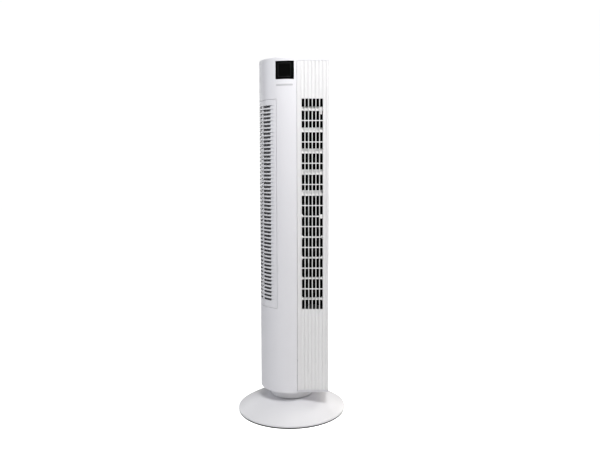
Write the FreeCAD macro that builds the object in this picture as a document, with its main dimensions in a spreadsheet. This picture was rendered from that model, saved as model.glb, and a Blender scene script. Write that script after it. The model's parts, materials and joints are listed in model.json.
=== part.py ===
"""Tower fan on a round base: stand, turning tower, cross-flow impeller, air vanes and buttons.

Millimetres. +Z is up, the origin is on the floor on the axis that the tower swings about, the
outlet faces -Y. Azimuths in the sheet are measured from the front (-Y) towards the left (-X).
"""
import FreeCAD, Part
import math
import os
import re
import Sketcher
from FreeCAD import Placement, Rotation, Vector

SIZES = {
    # how far a tool passes the face that it cuts, and a boss reaches into the wall that it joins
    "past": 1,
    # small gaps between pieces that are fastened to each other
    "skin_gap": 0.1,
    "press_gap": 0.02,
    # tower plan
    "shell_radius": 69.8,
    "shell_wall": 2.4,
    "volute_shift": 12,
    "side_reach": 83.2,
    "panel_front": 66,
    "panel_thick": 3,
    "crease_reach": 15,
    "flange_depth": 12,
    "seam_gap": 0.3,
    "crease_gap": 0.6,
    "seam_azimuth": 155,
    "seam_turn": 0.25,
    "edge_proud": 0.6,
    # tower levels
    "body_floor": 59,
    "panel_floor": 65,
    "shell_top": 779,
    "body_top": 786,
    "cap_plate": 3,
    "upstand_thick": 2,
    "upstand_height": 6,
    "skirt_depth": 3,
    "skirt_wall": 1.6,
    "cap_post_reach": 48,
    "cap_post_radius": 3,
    "rim_width": 6,
    "rim_depth": 3,
    "rim_round": 1.6,
    # stand
    "base_radius": 121.7,
    "base_wall": 2.6,
    "rim_low": 3.7,
    "rim_high": 6.6,
    "deck_radius": 48,
    "deck_level": 37,
    "deck_thick": 3,
    "deck_skin": 0.6,
    "cover_radius": 120.9,
    "cover_low": 0.5,
    "cover_high": 3.5,
    "foot_circle": 104,
    "foot_radius": 9,
    "foot_height": 2.2,
    "boss_circle": 102,
    "boss_radius": 4.2,
    "boss_top": 12.8,
    "boss_skin": 1,
    "foot_gap": 0.05,
    "cover_seat": 2.6,
    "ballast_inner": 58,
    "ballast_outer": 92,
    "ballast_height": 10,
    # pivot
    "spigot_bore": 14,
    "spigot_radius": 20,
    "spigot_top": 62.4,
    "flange_radius": 30,
    "flange_thick": 3,
    "pivot_screw_circle": 25.5,
    "running_gap": 0.08,
    "ring_inner": 30,
    "ring_outer": 40,
    "ring_thick": 0.9,
    "neck_radius": 47.5,
    "neck_wall": 2.6,
    "neck_floor": 38.2,
    "neck_plate": 3,
    "sleeve_radius": 23.5,
    "sleeve_top": 62,
    "plate_radius": 26,
    "plate_thick": 2,
    "arm_half": 5,
    "arm_reach": 50.5,
    "slot_half": 2.3,
    "slot_from": 10,
    "turntable_screw_circle": 36,
    "turntable_seat": 1.4,
    # swing drive
    "crank_offset": 30,
    "crank_throw": 16.5,
    "crank_radius": 20.5,
    "crank_level": 66.8,
    "crank_thick": 2,
    "crank_pin": 1.9,
    "crank_pin_low": 65,
    "crank_shaft": 3.5,
    "crank_shaft_depth": 5,
    "crank_bore_depth": 6,
    "swing_motor_radius": 25,
    "swing_motor_low": 72,
    "swing_motor_height": 18,
    "post_reach": 36,
    "post_back": 26,
    "post_radius": 4.5,
    "ear_thick": 2,
    # screws
    "screw_radius": 1.4,
    "screw_clear": 1.7,
    "head_radius": 3.2,
    "head_clear": 3.5,
    "cover_head": 1.2,
    "low_head": 1.4,
    "high_head": 1.8,
    "motor_head": 2.2,
    "spigot_hole": 9,
    "spigot_tip": 8,
    "neck_hole": 6,
    "neck_tip": 8,
    "shell_seat": 1.6,
    "shell_boss": 4.6,
    "shell_boss_height": 18,
    "shell_hole": 14,
    "shell_tip": 12,
    "shell_corner_screw": 50,
    "motor_hole": 12,
    "motor_tip": 6,
    "post_hole": 4,
    "post_tip": 6,
    # intake grille, on the left of the shell
    "intake_from": 24,
    "intake_to": 144,
    "intake_low": 246,
    "intake_high": 699,
    "intake_lip": 2,
    "lip_root": 3,
    "lip_show": 4,
    "lip_turn": 3,
    "intake_sink": 0.3,
    "filter_gap": 0.2,
    "filter_edge": 1,
    "filter_thick": 1.6,
    "intake_first": 264,
    "intake_pitch": 8.236,
    "intake_rows": 52,
    "intake_slot": 5,
    "intake_side_gap": 0.9,
    "intake_end_gap": 0.7,
    "column_from": 37.2,
    "column_sweep": 22.1,
    "column_pitch": 27.1,
    "column_count": 4,
    "mullion_outer": 67,
    "mullion_half": 0.9,
    "mullion_end": 8,
    "line_from": 30.6,
    "line_to": 142,
    "line_depth": 1.4,
    "line_height": 1.8,
    # outlet grille
    "rib_first": 24.48,
    "rib_pitch": 7.83,
    "rib_count": 8,
    "rib_radius": 0.97,
    "flute_depth": 0.8,
    "curve_steps": 6,
    "outlet_columns": 6,
    "outlet_low": 245.3,
    "outlet_high": 699.7,
    "outlet_bar": 2.05,
    "row_first": 267.3,
    "row_pitch": 45.42,
    "stiffener_left": 16,
    "stiffener_right": 17.4,
    "stiffener_depth": 5,
    "stiffener_gap": 4,
    # vanes
    "vane_group": 5,
    "vane_axis": 50,
    "lower_vane_first": 265.5,
    "upper_vane_first": 498,
    "vane_left": 24.5,
    "vane_right": 70.5,
    "vane_half": 12,
    "vane_thick": 2.2,
    "vane_pin": 1.5,
    "vane_pin_clear": 1.6,
    "upper_tilt": 24,
    "lower_tilt": -4,
    "lug_radius": 4.2,
    "lug_thick": 2,
    "link_arm": 8,
    "link_pin": 1,
    "link_left": 71.3,
    "link_right": 73.3,
    "link_half": 3.2,
    "link_end": 5,
    "link_pin_proud": 0.4,
    "link_lean": 20,
    "link_slot_half": 2,
    "link_slot_gap": 0.25,
    "tab_left": 65.1,
    "tab_right": 68.7,
    "upper_tab_half": 7,
    "upper_tab_reach": 16,
    "lower_tab_half": 4.5,
    "lower_tab_reach": 13.5,
    "stop_radius": 2.2,
    "stop_width": 2.2,
    "stop_left": 25.1,
    "stop_right": 67.2,
    "stop_front": 9.5,
    "stop_rise": 1,
    "rail_left": 20.9,
    "rail_right": 76.8,
    "rail_wide": 3,
    "rail_right_wide": 2.6,
    "pin_inset": 0.5,
    "rail_front": 60,
    "rail_back": 36,
    # air path
    "fan_floor": 232,
    "fan_ceiling": 712,
    "deck_plate": 4,
    "impeller_radius": 40,
    "impeller_low": 240,
    "impeller_high": 704,
    "impeller_disc": 2,
    "impeller_ring": 1.5,
    "impeller_rings": 5,
    "blade_count": 26,
    "blade_root": 30.5,
    "blade_thick": 1.2,
    "blade_curve": 8,
    "blade_sweep": 66,
    "blade_lean": 28,
    "hub_radius": 11,
    "hub_height": 14,
    "top_hub_height": 8,
    "axle_proud": 4,
    "shaft_proud": 4,
    "shaft_radius": 4,
    "duct_radius": 61,
    "duct_wall": 1.8,
    "duct_right": 77.2,
    "duct_sweep": 115,
    "tongue_left": 17.6,
    "tongue_right": 20.6,
    "tongue_back": 44,
    "tongue_gap": 0.4,
    # motor
    "motor_radius": 42,
    "motor_wall": 2.5,
    "motor_low": 154,
    "motor_high": 228,
    "motor_plate": 4,
    "stator_inner": 24.2,
    "stator_low": 167,
    "stator_high": 212,
    "rotor_radius": 23.6,
    "motor_screw_circle": 34,
    "bearing_radius": 8,
    "bearing_rubber": 11,
    "bearing_seat_wall": 3,
    "bearing_seat_drop": 3,
    "bearing_proud": 1,
    "bracket_bore": 12,
    "capacitor_left": 62,
    "capacitor_right": 46,
    "capacitor_half": 14,
    "capacitor_height": 34,
    # display and controls
    "window_from": -7.5,
    "window_to": 25.5,
    "window_low": 740.3,
    "window_high": 778,
    "window_gap": 0.2,
    "window_turn_gap": 0.2,
    "window_proud": 0.2,
    "module_half": 14,
    "module_front": 65.2,
    "module_back": 59,
    "module_flange_half": 15.5,
    "module_flange_front": 65,
    "module_flange_back": 64,
    "display_board_half": 17,
    "display_board_back": 57.4,
    "socket_half": 6,
    "socket_back": 55,
    "socket_height": 10,
    "board_low": 768,
    "board_thick": 1.6,
    "board_half": 54,
    "board_deep": 14,
    "switch_half": 3,
    "button_radius": 6.5,
    "button_hole": 6.9,
    "button_pitch": 17,
    "button_back": 8,
    "button_top": 785,
    "button_foot": 776.9,
    "button_flange": 7.9,
    "button_flange_thick": 1.6,
    "switch_top": 775.2,
    # cord gland, at the back
    "gland_reach": 12,
    "gland_level": 84,
    "gland_radius": 6,
    "gland_fit": 0.05,
    "gland_inside": 9,
    "gland_outside": 8,
    "collar_wide": 2.2,
    "collar_gap": 0.3,
    "collar_thick": 2,
}

DOC = FreeCAD.newDocument("TowerFan")
SHEET = DOC.addObject("Spreadsheet::Sheet", "Sizes")
for row, (alias, value) in enumerate(SIZES.items(), 1):
    SHEET.set(f"A{row}", alias)
    SHEET.set(f"B{row}", str(value))
    SHEET.setAlias(f"B{row}", alias)
DOC.recompute()

NODES = []
UP = Vector(0, 0, 1)

# The dome of the base is part of a sphere through the rim and through the edge of the deck.
DOME_CENTRE = ("(deck_radius^2 + deck_level^2 - base_radius^2 - rim_high^2)"
               " / (2 * (deck_level - rim_high))")
DOME_RADIUS = f"sqrt(base_radius^2 + (rim_high - {DOME_CENTRE})^2)"


# ---------------------------------------------------------------- helpers

def ref(formula):
    """The formula with every size name made a reference to the sheet."""
    def cell(match):
        name = match.group()
        return "Sizes." + name if name in SIZES else name
    return re.sub(r"[a-z][a-z0-9_]*", cell, str(formula))


def size(name):
    """One number from the sheet, for shapes that are made from numbers."""
    return float(SHEET.get(name))


def bind(item, **formulas):
    for name, formula in formulas.items():
        item.setExpression(name, ref(formula))
    return item


def put(item, x="0", y="0", z="0", turn=None):
    """Place an object by formulas; turn is about Z, in degrees."""
    for axis, formula in zip("xyz", (x, y, z)):
        item.setExpression("Placement.Base." + axis, ref(formula))
    if turn is not None:
        item.setExpression("Placement.Rotation.Angle", ref(turn))
    return item


def box(x_low, x_high, y_low, y_high, z_low, z_high):
    item = DOC.addObject("Part::Box", "Block")
    bind(item, Length=f"{x_high} - ({x_low})", Width=f"{y_high} - ({y_low})",
         Height=f"{z_high} - ({z_low})")
    return put(item, x_low, y_low, z_low)


def cylinder(radius, z_low, z_high, x="0", y="0"):
    item = DOC.addObject("Part::Cylinder", "Round")
    bind(item, Radius=radius, Height=f"{z_high} - ({z_low})")
    return put(item, x, y, z_low)


def along_x(radius, x_low, x_high, y, z):
    """A round bar or bore that lies along X."""
    item = cylinder(radius, x_low, x_high)
    item.Placement.Rotation = Rotation(Vector(0, 1, 0), 90)
    return put(item, x_low, y, z)


def along_y(radius, y_low, y_high, x, z):
    """A round bar or bore that lies along Y."""
    item = cylinder(radius, y_low, y_high)
    item.Placement.Rotation = Rotation(Vector(1, 0, 0), -90)
    return put(item, x, y_low, z)


def sector(outer, inner, z_low, z_high, az_from, az_to):
    """Part of an upright ring, between two azimuths counted from the front to the left."""
    wedge = cylinder(outer, z_low, z_high)
    bind(wedge, Angle=f"{az_to} - ({az_from})")
    put(wedge, z=z_low, turn=f"270 - ({az_to})")
    return cut(wedge, cylinder(inner, f"{z_low} - past", f"{z_high} + past"))


def cut(base, *tools):
    tool = tools[0] if len(tools) == 1 else fuse(*tools)
    item = DOC.addObject("Part::Cut", "Cut")
    item.Base = base
    item.Tool = tool
    return item


def fuse(*items):
    item = DOC.addObject("Part::MultiFuse", "Fuse")
    item.Shapes = list(items)
    return item


def common(*items):
    item = DOC.addObject("Part::MultiCommon", "Common")
    item.Shapes = list(items)
    return item


def feature(shape, name="Shape"):
    """A shape made with Part's own functions, as an object of the document."""
    item = DOC.addObject("Part::Feature", name)
    item.Shape = shape
    return item


def node(label, item):
    """Name an object as one finished piece."""
    item.Label = label
    NODES.append(item)
    return item


def around(count, radius, start=0):
    """Formulas of points evenly spaced on a circle about Z."""
    step = 360 / count
    return [(f"{radius} * cos({start + k * step})", f"{radius} * sin({start + k * step})")
            for k in range(count)]


def body_plane(body, role):
    for item in body.Origin.OriginFeatures:
        if item.Role == role:
            return item


def outline(body, role, corners):
    """A closed sketch of straight lines, each corner tied to the sheet. "0" puts it on an axis."""
    sketch = body.newObject("Sketcher::SketchObject", body.Name + "Outline")
    sketch.AttachmentSupport = [(body_plane(body, role), "")]
    sketch.MapMode = "FlatFace"
    count = len(corners)
    turn = 2 * math.pi / count
    start = [Vector(50 + 20 * math.cos(k * turn), 50 + 20 * math.sin(k * turn), 0)
             for k in range(count)]
    for k in range(count):
        sketch.addGeometry(Part.LineSegment(start[k], start[(k + 1) % count]), False)
    for k in range(count):
        sketch.addConstraint(Sketcher.Constraint("Coincident", k, 2, (k + 1) % count, 1))
    for k, corner in enumerate(corners):
        for kind, axis, formula in zip(("DistanceX", "DistanceY"), (-2, -1), corner):
            if formula == "0":
                sketch.addConstraint(Sketcher.Constraint("PointOnObject", k, 1, axis))
                continue
            index = sketch.addConstraint(Sketcher.Constraint(kind, -1, 1, k, 1, 10.0))
            sketch.setExpression(f"Constraints[{index}]", ref(formula))
    return sketch


def revolved(name, corners):
    """A body turned about Z from corners given as (radius, height) formulas."""
    body = DOC.addObject("PartDesign::Body", name)
    turned = body.newObject("PartDesign::Revolution", name + "Turned")
    turned.Profile = outline(body, "XZ_Plane", corners)
    turned.ReferenceAxis = (turned.Profile[0], ["V_Axis"])
    turned.Angle = 360
    return body


def ring(name, outer, inner, z_low, z_high):
    return revolved(name, [(inner, z_low), (outer, z_low), (outer, z_high), (inner, z_high)])


def screws(places, seat, tip, head, down=True):
    """A group of upright screws: head above the seat, or below it when down is False."""
    group = []
    for x, y in places:
        low, high = (seat, f"{seat} + {head}") if down else (f"{seat} - {head}", seat)
        group.append(cylinder("head_radius", low, high, x, y))
        low, high = (tip, seat) if down else (seat, tip)
        group.append(cylinder("screw_radius", low, high, x, y))
    return fuse(*group)


def holes(places, radius, z_low, z_high):
    return [cylinder(radius, z_low, z_high, x, y) for x, y in places]


def plan_face(inset, front, crease):
    """The plan of the tower: round on the left, a volute at the back, flat on the right and front."""
    radius = size("shell_radius") - inset
    shift = size("volute_shift")
    wide = radius + shift
    side = size("side_reach") - inset
    slope = math.sqrt(0.5)
    start = Vector(crease, -math.sqrt(radius ** 2 - crease ** 2), 0)
    back = Vector(0, radius, 0)
    right = Vector(side, -shift, 0)
    corner = Vector(side, -front, 0)
    step = Vector(crease, -front, 0)
    edges = [
        Part.Arc(start, Vector(-radius, 0, 0), back).toShape(),
        Part.Arc(back, Vector(wide * slope, wide * slope - shift, 0), right).toShape(),
        Part.makeLine(right, corner),
        Part.makeLine(corner, step),
        Part.makeLine(step, start),
    ]
    return Part.Face(Part.Wire(edges))


def slab(inset, low, high, front, crease=None):
    face = plan_face(inset, front, size("crease_reach") if crease is None else crease)
    face.translate(Vector(0, 0, low))
    return face.extrude(Vector(0, 0, high - low))


def inner_slab(low, high):
    """A plate that fits inside the shells and behind the outlet panel."""
    gap = size("seam_gap")
    front = size("panel_front") - size("panel_thick") - gap
    crease = size("crease_reach")
    flange = size("shell_wall") + 2 * gap
    plate = slab(size("shell_wall") + gap, low, high, front, crease - flange)
    notch_back = size("panel_front") - size("flange_depth") - gap
    corner = Vector(crease - flange, -front - notch_back, low)
    return plate.cut(Part.makeBox(flange + gap, front, high - low, corner))


# ---------------------------------------------------------------- stand

def base_disc():
    low_cut = "rim_low - past"
    dome = DOC.addObject("Part::Sphere", "Dome")
    put(bind(dome, Radius=DOME_RADIUS), z=DOME_CENTRE)
    outer = common(dome, cylinder("base_radius", "rim_low", "deck_level"))
    hollow = DOC.addObject("Part::Sphere", "Hollow")
    put(bind(hollow, Radius=f"{DOME_RADIUS} - base_wall"), z=DOME_CENTRE)
    inner = common(hollow, cylinder("base_radius - base_wall", low_cut, "deck_level - deck_thick"))
    shell = cut(outer, inner)
    bosses = holes(around(6, "boss_circle"), "boss_radius", "rim_low", "boss_top")
    tools = holes(around(6, "boss_circle"), "screw_radius", low_cut, "boss_top - boss_skin")
    deck_floor = "deck_level - deck_thick - past"
    tools += holes(around(3, "pivot_screw_circle", 90), "screw_radius", deck_floor,
                   "deck_level - deck_skin")
    tools.append(cylinder("spigot_radius + skin_gap", deck_floor, "deck_level + past"))
    node("base_disc", cut(fuse(shell, *bosses), *tools))


def base_bottom_cover():
    disc = ring("CoverDisc", "cover_radius", "spigot_bore", "cover_low", "cover_high")
    low = "cover_low - past"
    tools = holes(around(6, "foot_circle", 30), "foot_radius", low, "foot_height")
    tools += holes(around(6, "boss_circle"), "screw_clear", low, "cover_high + past")
    tools += holes(around(6, "boss_circle"), "head_clear", low, "cover_seat")
    node("base_bottom_cover", cut(disc, *tools))
    feet = holes(around(6, "foot_circle", 30), "foot_radius - foot_gap", "0", "foot_height")
    node("base_feet", fuse(*feet))
    node("base_screws", screws(around(6, "boss_circle"), "cover_seat", "boss_top - 2 * boss_skin",
                               "cover_head", down=False))


def plate_screw_places():
    """Three screws on the front half of the spigot, clear of the slot in the arm."""
    return around(6, "(spigot_radius + spigot_bore) / 2", 210)[:3]


def pivot_hub():
    """Hollow spigot that the tower turns on; its flange is screwed up under the deck."""
    flange_top = "deck_level - deck_thick"
    flange_low = f"{flange_top} - flange_thick"
    hub = revolved("HubTurned", [
        ("spigot_bore", flange_low),
        ("flange_radius", flange_low),
        ("flange_radius", flange_top),
        ("spigot_radius", flange_top),
        ("spigot_radius", "spigot_top"),
        ("spigot_bore", "spigot_top"),
    ])
    places = around(3, "pivot_screw_circle", 90)
    tools = holes(places, "screw_clear", f"{flange_low} - past", f"{flange_top} + past")
    tools += holes(plate_screw_places(), "screw_radius", "spigot_top - spigot_hole",
                   "spigot_top + past")
    node("pivot_hub", cut(hub, *tools))
    node("pivot_screws", screws(places, flange_low, "deck_level - deck_skin - press_gap",
                                "high_head", down=False))


def retaining_plate():
    level = ("spigot_top", "spigot_top + plate_thick")
    disc = cylinder("plate_radius", *level)
    arm = box("-arm_half", "arm_half", "0", "arm_reach - arm_half", *level)
    tip = cylinder("arm_half", *level, y="arm_reach - arm_half")
    through = ("spigot_top - past", "spigot_top + plate_thick + past")
    tools = [box("-slot_half", "slot_half", "slot_from", "arm_reach - arm_half", *through),
             cylinder("slot_half", *through, y="arm_reach - arm_half")]
    tools += holes(plate_screw_places(), "screw_clear", *through)
    node("retaining_plate", cut(fuse(disc, arm, tip), *tools))
    node("retaining_screws", screws(plate_screw_places(), "spigot_top + plate_thick",
                                    "spigot_top - spigot_tip", "high_head"))


# ---------------------------------------------------------------- bottom of the tower

def turntable_screw_places():
    return around(4, "turntable_screw_circle", 45)


def turntable():
    """Neck of the tower: a sleeve on the spigot, a floor on the slide ring and a round wall."""
    body = revolved("NeckTurned", [
        ("spigot_radius + running_gap", "neck_floor"),
        ("neck_radius", "neck_floor"),
        ("neck_radius", "body_floor"),
        ("neck_radius - neck_wall", "body_floor"),
        ("neck_radius - neck_wall", "neck_floor + neck_plate"),
        ("sleeve_radius", "neck_floor + neck_plate"),
        ("sleeve_radius", "sleeve_top"),
        ("spigot_radius + running_gap", "sleeve_top"),
    ])
    places = turntable_screw_places()
    posts = holes(places, "boss_radius", "neck_floor + past", "body_floor")
    tools = holes(places, "screw_radius", "neck_floor + neck_hole", "body_floor + past")
    node("turntable", cut(fuse(body, *posts), *tools))
    node("turntable_screws", screws(places, "body_floor + turntable_seat", "neck_floor + neck_tip",
                                    "low_head"))


def shell_screw_places():
    """Two screws up into the left shell and two up into the rear shell."""
    near = "(shell_radius - shell_wall - boss_radius)"
    return [
        (f"{near} * cos(225)", f"{near} * sin(225)"),
        (f"{near} * cos(150)", f"{near} * sin(150)"),
        ("side_reach - shell_wall - boss_radius", "-shell_corner_screw"),
        (f"({near} + volute_shift) * cos(45)", f"({near} + volute_shift) * sin(45) - volute_shift"),
    ]


def swing_motor_places():
    return [("post_reach", "post_back"), ("-post_reach", "post_back")]


def bottom_cap():
    """Floor of the tower, with an upstand behind the outlet panel and posts for the swing motor."""
    floor = size("body_floor")
    plate = feature(inner_slab(floor, floor + size("cap_plate")), "CapPlate")
    wall_front = "-(panel_front - panel_thick - seam_gap)"
    upstand = box("crease_reach + past", "side_reach - shell_wall - past", wall_front,
                  f"{wall_front} + upstand_thick", "body_floor", "panel_floor + upstand_height")
    low = "body_floor - past"
    high = "body_floor + cap_plate + past"
    posts = holes(swing_motor_places(), "post_radius", "body_floor + past", "swing_motor_low")
    tools = [cylinder("sleeve_radius + seam_gap", low, high)]
    tools += holes(swing_motor_places(), "screw_radius", "body_floor + post_hole",
                   "swing_motor_low + past")
    tools += holes(turntable_screw_places(), "screw_clear", low, high)
    tools += holes(turntable_screw_places(), "head_clear", "body_floor + turntable_seat", high)
    tools += holes(shell_screw_places(), "screw_clear", low, high)
    tools += holes(shell_screw_places(), "head_clear", low, "body_floor + shell_seat")
    node("bottom_cap", cut(fuse(plate, upstand, *posts), *tools))
    node("cap_screws", screws(shell_screw_places(), "body_floor + shell_seat",
                              "body_floor + cap_plate + shell_tip", "low_head", down=False))


def shell_bosses(places):
    """Bosses inside a shell over the floor of the tower, and the holes for their screws."""
    low = "body_floor + cap_plate"
    bosses = holes(places, "shell_boss", f"{low} + skin_gap", f"{low} + shell_boss_height")
    return bosses, holes(places, "screw_radius", f"{low} - past", f"{low} + shell_hole")


# ---------------------------------------------------------------- shells and grilles

def left_shell():
    """Round front and left of the tower, with the intake window and the display window."""
    inner = "shell_radius - shell_wall"
    crease = "-asin(crease_reach / shell_radius) / (1 deg)"
    wall = sector("shell_radius", inner, "body_floor", "shell_top", crease, "seam_azimuth")
    edge = box("crease_reach - shell_wall", "crease_reach", "-panel_front - edge_proud",
               "-(panel_front - flange_depth)", "body_floor", "shell_top")
    lip = sector(f"{inner} + skin_gap", f"{inner} - intake_lip", "intake_low - lip_root",
                 "intake_high + lip_root", "intake_from - lip_turn", "intake_to + lip_turn")
    bosses, bores = shell_bosses(shell_screw_places()[:2])
    reach = "shell_radius + past"
    depth = f"{inner} - intake_lip - past"
    tools = [
        sector(reach, inner, "intake_low", "intake_high", "intake_from", "intake_to"),
        sector(reach, depth, "intake_low + lip_show", "intake_high - lip_show",
               "intake_from + lip_turn", "intake_to - lip_turn"),
        sector(reach, depth, "window_low - window_gap", "window_high + window_gap",
               "window_from - window_turn_gap", "window_to + window_turn_gap"),
    ]
    node("left_shell", cut(fuse(wall, edge, lip, *bosses), *(tools + bores)))


def rear_shell():
    """Back and right of the tower: a volute wall that ends behind the outlet panel."""
    floor = size("body_floor")
    top = size("shell_top")
    front = size("panel_front") - size("panel_thick") - size("seam_gap")
    wall = size("shell_wall")
    past = size("past")
    hollow = slab(wall, floor - past, top + past, front + wall)
    shell = slab(0, floor, top, front).cut(hollow)
    far = size("side_reach") * 2
    seam = 270 - size("seam_azimuth") - size("seam_turn")
    left_part = Part.makeCylinder(far, top, Vector(0, 0, 0), UP, 285 - seam)
    left_part.rotate(Vector(0, 0, 0), UP, seam)
    front_part = Part.makeBox(far, far, top, Vector(-far / 2, -front - far, 0))
    middle = Part.makeBox(size("side_reach") - wall, far, top, Vector(0, -far, 0))
    shell = shell.cut(left_part).cut(front_part).cut(middle)
    bosses, bores = shell_bosses(shell_screw_places()[2:])
    gland_hole = along_y("gland_radius + gland_fit", "shell_radius - gland_inside",
                         "shell_radius + gland_outside", "gland_reach", "gland_level")
    node("rear_shell", cut(fuse(feature(shell, "RearWall"), *bosses), gland_hole, *bores))


def intake_grille():
    """Curved panel with rows of short slots, each row with a shallow line along its top."""
    outer = size("shell_radius") - size("intake_sink")
    inner = size("shell_radius") - size("shell_wall") + size("skin_gap")
    past = size("past")
    gap = size("intake_side_gap")
    low = size("intake_low") + size("intake_end_gap")
    high = size("intake_high") - size("intake_end_gap")

    def piece(r_out, r_in, z_low, z_high, az_from, az_to):
        wedge = Part.makeCylinder(r_out, z_high - z_low, Vector(0, 0, z_low), UP, az_to - az_from)
        wedge.rotate(Vector(0, 0, 0), UP, 270 - az_to)
        return wedge.cut(Part.makeCylinder(r_in, z_high - z_low, Vector(0, 0, z_low)))

    panel = piece(outer, inner, low, high, size("intake_from") + gap, size("intake_to") - gap)
    slot = size("intake_slot")
    line = size("line_height")
    tools = []
    for k in range(int(size("intake_rows"))):
        z_low = size("intake_first") + k * size("intake_pitch") - slot / 2
        for column in range(int(size("column_count"))):
            az = size("column_from") + column * size("column_pitch")
            tools.append(piece(outer + past, inner - past, z_low, z_low + slot, az,
                               az + size("column_sweep")))
        tools.append(piece(outer + past, outer - size("line_depth"), z_low + slot - line,
                           z_low + slot, size("line_from"), size("line_to")))
    node("intake_grille", feature(panel.cut(tools), "IntakeGrille"))


def intake_filter():
    """Dust filter: a thin curved sheet behind the intake grille, against the lip of the window.

    An upright mullion stands on it behind the middle of each column of slots.
    """
    lip = "shell_radius - shell_wall - intake_lip"
    face = f"{lip} - filter_gap"
    sheet = sector(face, f"{face} - filter_thick", "intake_low + filter_edge",
                   "intake_high - filter_edge", "intake_from", "intake_to")
    mullions = []
    for column in range(int(size("column_count"))):
        middle = f"column_from + {column} * column_pitch + column_sweep / 2"
        mullions.append(sector("mullion_outer", f"{lip} - past", "intake_low + mullion_end",
                               "intake_high - mullion_end", f"{middle} - mullion_half",
                               f"{middle} + mullion_half"))
    node("intake_filter", fuse(sheet, *mullions))


def panel_face():
    """Plan of the outlet panel: half-round ribs with hollow flutes between them.

    Both curves run in short straight steps, so that every face of the panel is a true plane.
    """
    front = -size("panel_front")
    radius = size("rib_radius")
    steps = int(size("curve_steps"))
    count = int(size("rib_count"))
    hollow = size("rib_pitch") - 2 * radius
    left = size("crease_reach") + size("crease_gap")
    points = [Vector(left, front, 0)]
    for k in range(count):
        middle = size("rib_first") + k * size("rib_pitch")
        for step in range(steps + 1):
            turn = math.pi * step / steps
            points.append(Vector(middle - radius * math.cos(turn), front - radius * math.sin(turn), 0))
        for step in range(1, steps if k < count - 1 else 1):
            along = step / steps
            depth = 4 * size("flute_depth") * along * (1 - along)
            points.append(Vector(middle + radius + along * hollow, front + depth, 0))
    points += [Vector(size("side_reach"), front, 0),
               Vector(size("side_reach"), front + size("panel_thick"), 0),
               Vector(left, front + size("panel_thick"), 0)]
    return Part.Face(Part.makePolygon(points + points[:1]))


def outlet_grille():
    """Flat panel with upright ribs and hollow flutes between them; the middle ones are open."""
    gap = size("seam_gap")
    low = size("panel_floor") + gap
    face = panel_face()
    face.translate(Vector(0, 0, low))
    panel = feature(face.extrude(Vector(0, 0, size("shell_top") - gap - low)), "Panel")
    back = "-(panel_front - panel_thick)"
    stiffeners = [
        box("stiffener_left", "stiffener_right", back, f"{back} + stiffener_depth",
            f"{foot} + stiffener_gap", f"{head} - stiffener_gap")
        for foot, head in (("panel_floor + upstand_height", "fan_floor - deck_plate"),
                           ("fan_floor", "fan_ceiling"))
    ]
    openings = []
    rows = 2 * int(size("vane_group"))
    for row in range(rows):
        foot = f"row_first + {row - 0.5} * row_pitch + outlet_bar / 2" if row else "outlet_low"
        head = f"row_first + {row + 0.5} * row_pitch - outlet_bar / 2"
        if row == rows - 1:
            head = "outlet_high"
        for column in range(int(size("outlet_columns"))):
            openings.append(box(f"rib_first + {column} * rib_pitch + rib_radius",
                                f"rib_first + {column + 1} * rib_pitch - rib_radius",
                                "-(panel_front + rib_radius + past)", f"{back} + past", foot,
                                head))
    node("outlet_grille", cut(fuse(panel, *stiffeners), *openings))


# ---------------------------------------------------------------- top of the tower

def button_places():
    return [(f"{k} * button_pitch", "button_back") for k in (-2, -1, 0, 1, 2)]


def top_cap():
    low = size("shell_top")
    high = size("body_top")
    inset = size("rim_width")
    front = size("panel_front")
    lid = slab(0, low, high, front)
    round_edges = [edge for edge in lid.Edges
                   if min(vertex.Z for vertex in edge.Vertexes) > high - 0.01]
    lid = lid.makeFillet(size("rim_round"), round_edges)
    past = size("past")
    lid = lid.cut(slab(inset, high - size("rim_depth"), high + past, front - inset,
                       size("crease_reach") - past))
    foot = low - size("skirt_depth")
    skirt_inset = size("shell_wall") + size("seam_gap") + size("skirt_wall")
    skirt = inner_slab(foot, low)
    skirt = skirt.cut(slab(skirt_inset, foot - past, low, front - size("panel_thick") - skirt_inset / 2,
                           size("crease_reach") - size("panel_thick") - size("skirt_wall")))
    posts = holes([("-cap_post_reach", "button_back"), ("cap_post_reach", "button_back")],
                  "cap_post_radius", "board_low + board_thick", "shell_top")
    lid_item = fuse(feature(lid, "Lid"), feature(skirt, "Skirt"), *posts)
    tools = holes(button_places(), "button_hole", "shell_top - past", "body_top + past")
    node("top_cap", cut(lid_item, *tools))


def buttons():
    for label, (x, y) in zip(("timer_button", "mode_button", "power_button", "speed_button",
                              "swing_button"), button_places()):
        cap = cylinder("button_radius", "button_foot", "button_top", x, y)
        flange = cylinder("button_flange", "button_foot", "button_foot + button_flange_thick", x, y)
        node(label, fuse(cap, flange))


def control_board():
    top = "board_low + board_thick"
    board = box("-board_half", "board_half", "button_back - board_deep", "button_back + board_deep",
                "board_low", top)
    switches = [box(f"{x} - switch_half", f"{x} + switch_half", f"{y} - switch_half",
                    f"{y} + switch_half", top, "switch_top") for x, y in button_places()]
    node("control_board", fuse(board, *switches))


def display():
    """Window, light module and board, all turned to face the same way."""
    window = sector("shell_radius + window_proud", "shell_radius - shell_wall", "window_low",
                    "window_high", "window_from", "window_to")
    node("display_window", window)

    def block(half, front, back, inset):
        return box(f"-{half}", half, f"-{front}", f"-{back}", f"window_low + {inset}",
                   f"window_high - {inset}")

    module = fuse(block("module_half", "module_front", "module_back", "8"),
                  block("module_flange_half", "module_flange_front", "module_flange_back", "3.5"))
    socket = box("-socket_half", "socket_half", "-display_board_back", "-socket_back",
                 "window_low + socket_height", "window_low + 2 * socket_height")
    board = fuse(block("display_board_half", "module_back", "display_board_back", "1"), socket)
    for label, item in (("led_display", module), ("display_board", board)):
        put(node(label, item), turn="-(window_from + window_to) / 2")


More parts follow.
